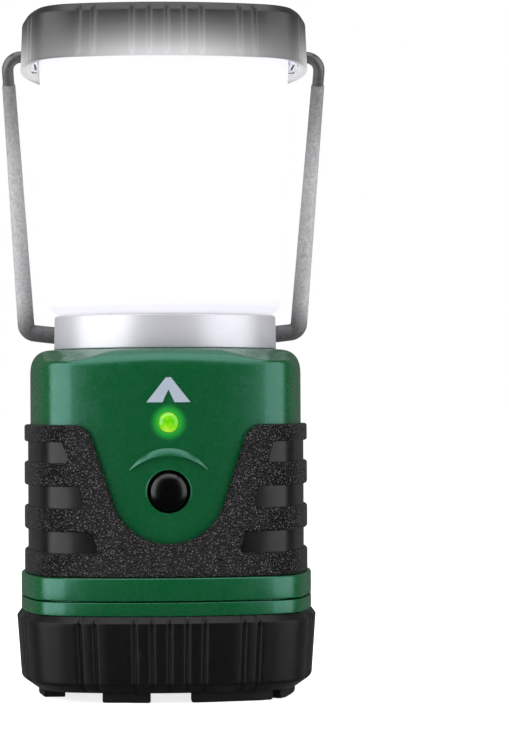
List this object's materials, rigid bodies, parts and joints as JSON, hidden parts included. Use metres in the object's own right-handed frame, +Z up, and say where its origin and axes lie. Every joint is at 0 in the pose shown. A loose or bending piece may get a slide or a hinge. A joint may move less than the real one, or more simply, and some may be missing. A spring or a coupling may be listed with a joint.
{
  "type": "camping lantern",
  "caption": "Rechargeable LED camping lantern: frosted globe on a rounded-square body with a rubber grip, ribbed cap and base, power button and hinged bail.",
  "frame": {"origin": "centre of the footprint, on the plane that the feet stand on", "axes": "+Z up through the globe and the cap, -Y towards the power button, +X to the right seen from the front"},
  "size_m": [0.0954, 0.0874, 0.1968],
  "materials": {
    "boot_black": "satin moulded plastic, near black",
    "foot_rubber": "matte rubber",
    "body_green": "satin moulded plastic, deep green",
    "grip_rubber": "fine grained rubber, charcoal",
    "emblem_silver": "printed silver mark",
    "button_rubber": "smooth rubber, black",
    "switch_plastic": "moulded plastic",
    "lens_green": "translucent green, lit",
    "led_white": "LED package",
    "circuit_board": "green solder mask",
    "components": "moulded electronic parts",
    "screw_steel": "zinc-plated steel",
    "cell_wrap": "shrink wrap, blue",
    "nickel": "nickel strip",
    "carrier_plastic": "moulded plastic, black",
    "lead_red": "insulated wire, red",
    "lead_white": "insulated wire, white",
    "socket_steel": "nickel-plated steel",
    "tongue_white": "moulded plastic, white",
    "cover_rubber": "matte rubber, black",
    "collar_silver": "satin",
    "sink_aluminium": "as machined",
    "led_board_white": "white solder mask",
    "led_phosphor": "yellow phosphor",
    "seal_grey": "silicone",
    "seal_red": "silicone, red",
    "globe_frost": "frosted translucent white, lit from within",
    "reflector": "vacuum-metallised",
    "plate_white": "satin white",
    "cap_black": "satin moulded plastic, near black",
    "bush_steel": "turned steel",
    "wire_grey": "gloss dark grey coating",
    "handle_rubber": "soft-touch grey rubber"
  },
  "bodies": {
    "case": {"base_boot": "boot_black", "base_plate": "boot_black", "feet": "foot_rubber", "base_tray": "body_green", "base_screws": "screw_steel", "base_seal": "seal_red", "body_shell": "body_green", "grip_sleeve": "grip_rubber", "front_emblem": "emblem_silver", "switch_housing": "switch_plastic", "indicator_lens": "lens_green", "indicator_led": "led_white", "control_board": "circuit_board", "board_components": "components", "board_screws": "screw_steel", "battery_cells": "cell_wrap", "battery_links": "nickel", "battery_cradle": "carrier_plastic", "battery_clamp": "carrier_plastic", "battery_leads": "lead_red", "lamp_leads": "lead_white", "port_board": "circuit_board", "usb_output_socket": "socket_steel", "charge_socket": "socket_steel", "socket_tongues": "tongue_white", "collar": "collar_silver", "collar_screws": "screw_steel", "heat_sink": "sink_aluminium", "led_board": "led_board_white", "led_chips": "led_phosphor", "led_screws": "screw_steel", "globe_seal": "seal_grey"},
    "button": {"power_button": "button_rubber", "switch_plunger": "tongue_white"},
    "port_flap": {"port_cover": "cover_rubber"},
    "shade": {"globe": "globe_frost", "reflector_cone": "reflector", "cap_plate": "plate_white", "cap_shell": "cap_black", "cap_screws": "screw_steel", "pivot_bushes": "bush_steel"},
    "handle": {"handle_wire": "wire_grey", "handle_grip": "handle_rubber"}
  },
  "joints": [
    {"name": "shade_twist", "type": "hinge", "parent": "case", "child": "shade", "pos_m": [0, 0, 0.1035], "axis": [0, 0, 1], "range_deg": [0, 20]},
    {"name": "handle_swing", "type": "hinge", "parent": "shade", "child": "handle", "pos_m": [0, 0, 0.1858], "axis": [1, 0, 0], "range_deg": [0, 313]},
    {"name": "button_press", "type": "slide", "parent": "case", "child": "button", "axis": [0, 1, 0], "range_m": [0, 0.0006], "stiffness_N_per_m": 2500},
    {"name": "port_cover_fold", "type": "hinge", "parent": "case", "child": "port_flap", "pos_m": [0, 0.03895, 0.0569], "axis": [-1, 0, 0], "range_deg": [0, 110]}
  ]
}
